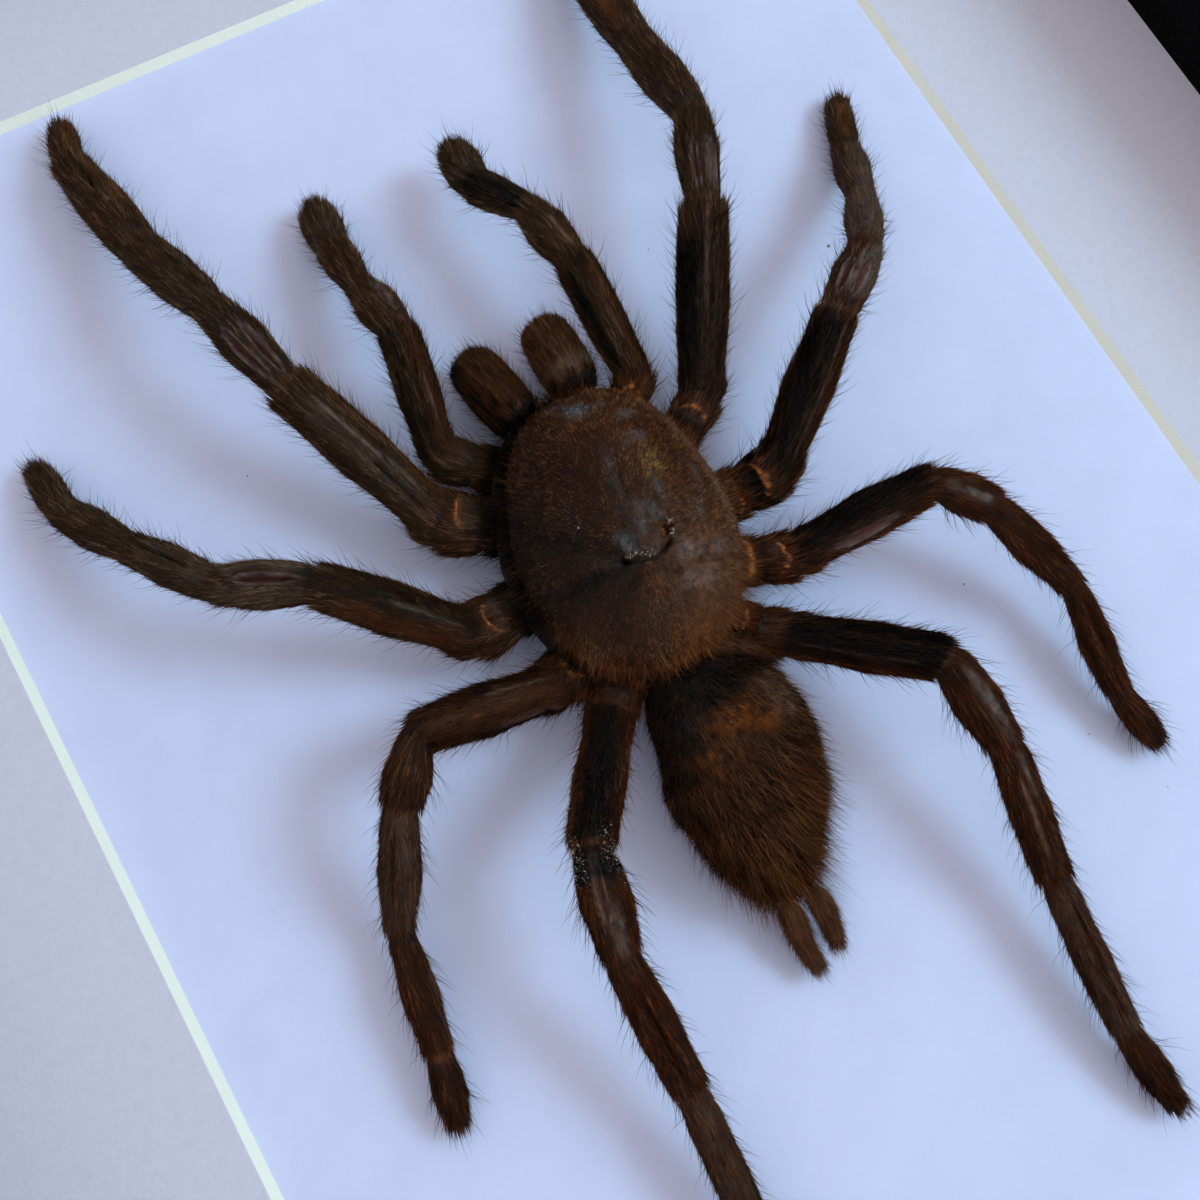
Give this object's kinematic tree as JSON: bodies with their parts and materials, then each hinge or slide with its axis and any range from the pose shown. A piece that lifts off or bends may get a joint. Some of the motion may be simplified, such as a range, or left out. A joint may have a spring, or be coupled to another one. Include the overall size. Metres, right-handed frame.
{
  "type": "framed tarantula specimen",
  "caption": "Dried tarantula laid out, back upwards, on a pale card behind glass in a black box frame with a bevelled mat.",
  "frame": {"origin": "middle of the frame's back, on the plane that it lies on", "axes": "+X to the right of someone facing the glass, +Y towards the top rail, where the spider's head points, +Z out of the glass"},
  "size_m": [0.22, 0.2708, 0.035],
  "materials": {
    "frame_wood": "satin black lacquer over wood",
    "zinc_steel": "zinc-plated sheet steel",
    "hardboard": "brown hardboard, smooth side out",
    "card": "matt pale blue-white paper on card",
    "mat_board": "matt paper mat board with a cream core",
    "black_board": "matt black card strip",
    "glass": "clear low-reflection picture glass",
    "carapace_fur": "dried shell with a short golden-brown pile",
    "abdomen_fur": "dried skin with long dark brown hairs",
    "leg_fur": "dried legs with combed brown hairs and long bristles"
  },
  "bodies": {
    "root": {"frame_rail_bottom": "frame_wood", "frame_rail_right": "frame_wood", "frame_rail_top": "frame_wood", "frame_rail_left": "frame_wood", "tab_bottom_1": "zinc_steel", "tab_bottom_2": "zinc_steel", "tab_right_1": "zinc_steel", "tab_right_2": "zinc_steel", "tab_right_3": "zinc_steel", "tab_top_1": "zinc_steel", "tab_top_2": "zinc_steel", "tab_left_1": "zinc_steel", "tab_left_2": "zinc_steel", "tab_left_3": "zinc_steel", "back_panel": "hardboard", "backing_card": "card", "glass_pane": "glass", "mat": "mat_board", "hanger": "zinc_steel", "spacer_top": "black_board", "spacer_bottom": "black_board", "spacer_left": "black_board", "spacer_right": "black_board", "cephalothorax": "carapace_fur", "abdomen": "abdomen_fur", "chelicera_left": "carapace_fur", "chelicera_right": "carapace_fur", "leg_1_left": "leg_fur", "leg_1_right": "leg_fur", "leg_2_left": "leg_fur", "leg_2_right": "leg_fur", "leg_3_left": "leg_fur", "leg_3_right": "leg_fur", "leg_4_left": "leg_fur", "leg_4_right": "leg_fur", "pedipalp_left": "leg_fur", "pedipalp_right": "leg_fur", "spinneret_left": "abdomen_fur", "spinneret_right": "abdomen_fur"}
  },
  "joints": []
}
